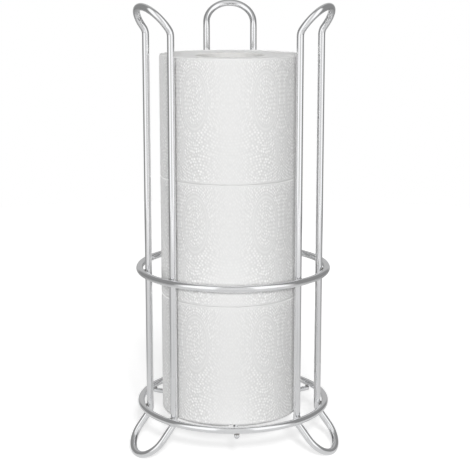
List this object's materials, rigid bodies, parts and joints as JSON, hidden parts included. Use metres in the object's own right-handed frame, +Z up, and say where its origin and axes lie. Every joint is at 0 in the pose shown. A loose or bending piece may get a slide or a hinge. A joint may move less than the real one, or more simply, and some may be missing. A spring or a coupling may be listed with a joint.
{
  "type": "paper roll holder",
  "caption": "Free-standing chrome wire holder: leaning hand loops, splayed foot loops and rings round a column of embossed paper rolls that lift out upwards.",
  "frame": {"origin": "on the floor, on the upright axis of the stand, midway between its three uprights", "axes": "+Z up; -Y is the front, between the left and right uprights; +X is to the right seen from the front"},
  "size_m": [0.1854, 0.1882, 0.3924],
  "materials": {
    "chrome_wire": "satin",
    "arm_wire": "satin",
    "tissue_paper": "matte",
    "core_board": "matte"
  },
  "bodies": {
    "stand": {"upright_left": "chrome_wire", "upright_right": "chrome_wire", "upright_back": "chrome_wire", "mid_ring": "chrome_wire", "base_ring": "chrome_wire", "base_arm_front": "arm_wire", "base_arm_left": "arm_wire", "base_arm_right": "arm_wire"},
    "roll_bottom": {"roll_bottom_paper": "tissue_paper", "roll_bottom_core": "core_board"},
    "roll_middle": {"roll_middle_paper": "tissue_paper", "roll_middle_core": "core_board"},
    "roll_top": {"roll_top_paper": "tissue_paper", "roll_top_core": "core_board"}
  },
  "joints": [
    {"name": "roll_bottom_lift", "type": "slide", "parent": "stand", "child": "roll_bottom", "axis": [0, 0, 1], "range_m": [0, 0.37]},
    {"name": "roll_middle_lift", "type": "slide", "parent": "roll_bottom", "child": "roll_middle", "axis": [0, 0, 1], "range_m": [0, 0.265]},
    {"name": "roll_top_lift", "type": "slide", "parent": "roll_middle", "child": "roll_top", "axis": [0, 0, 1], "range_m": [0, 0.16]}
  ]
}
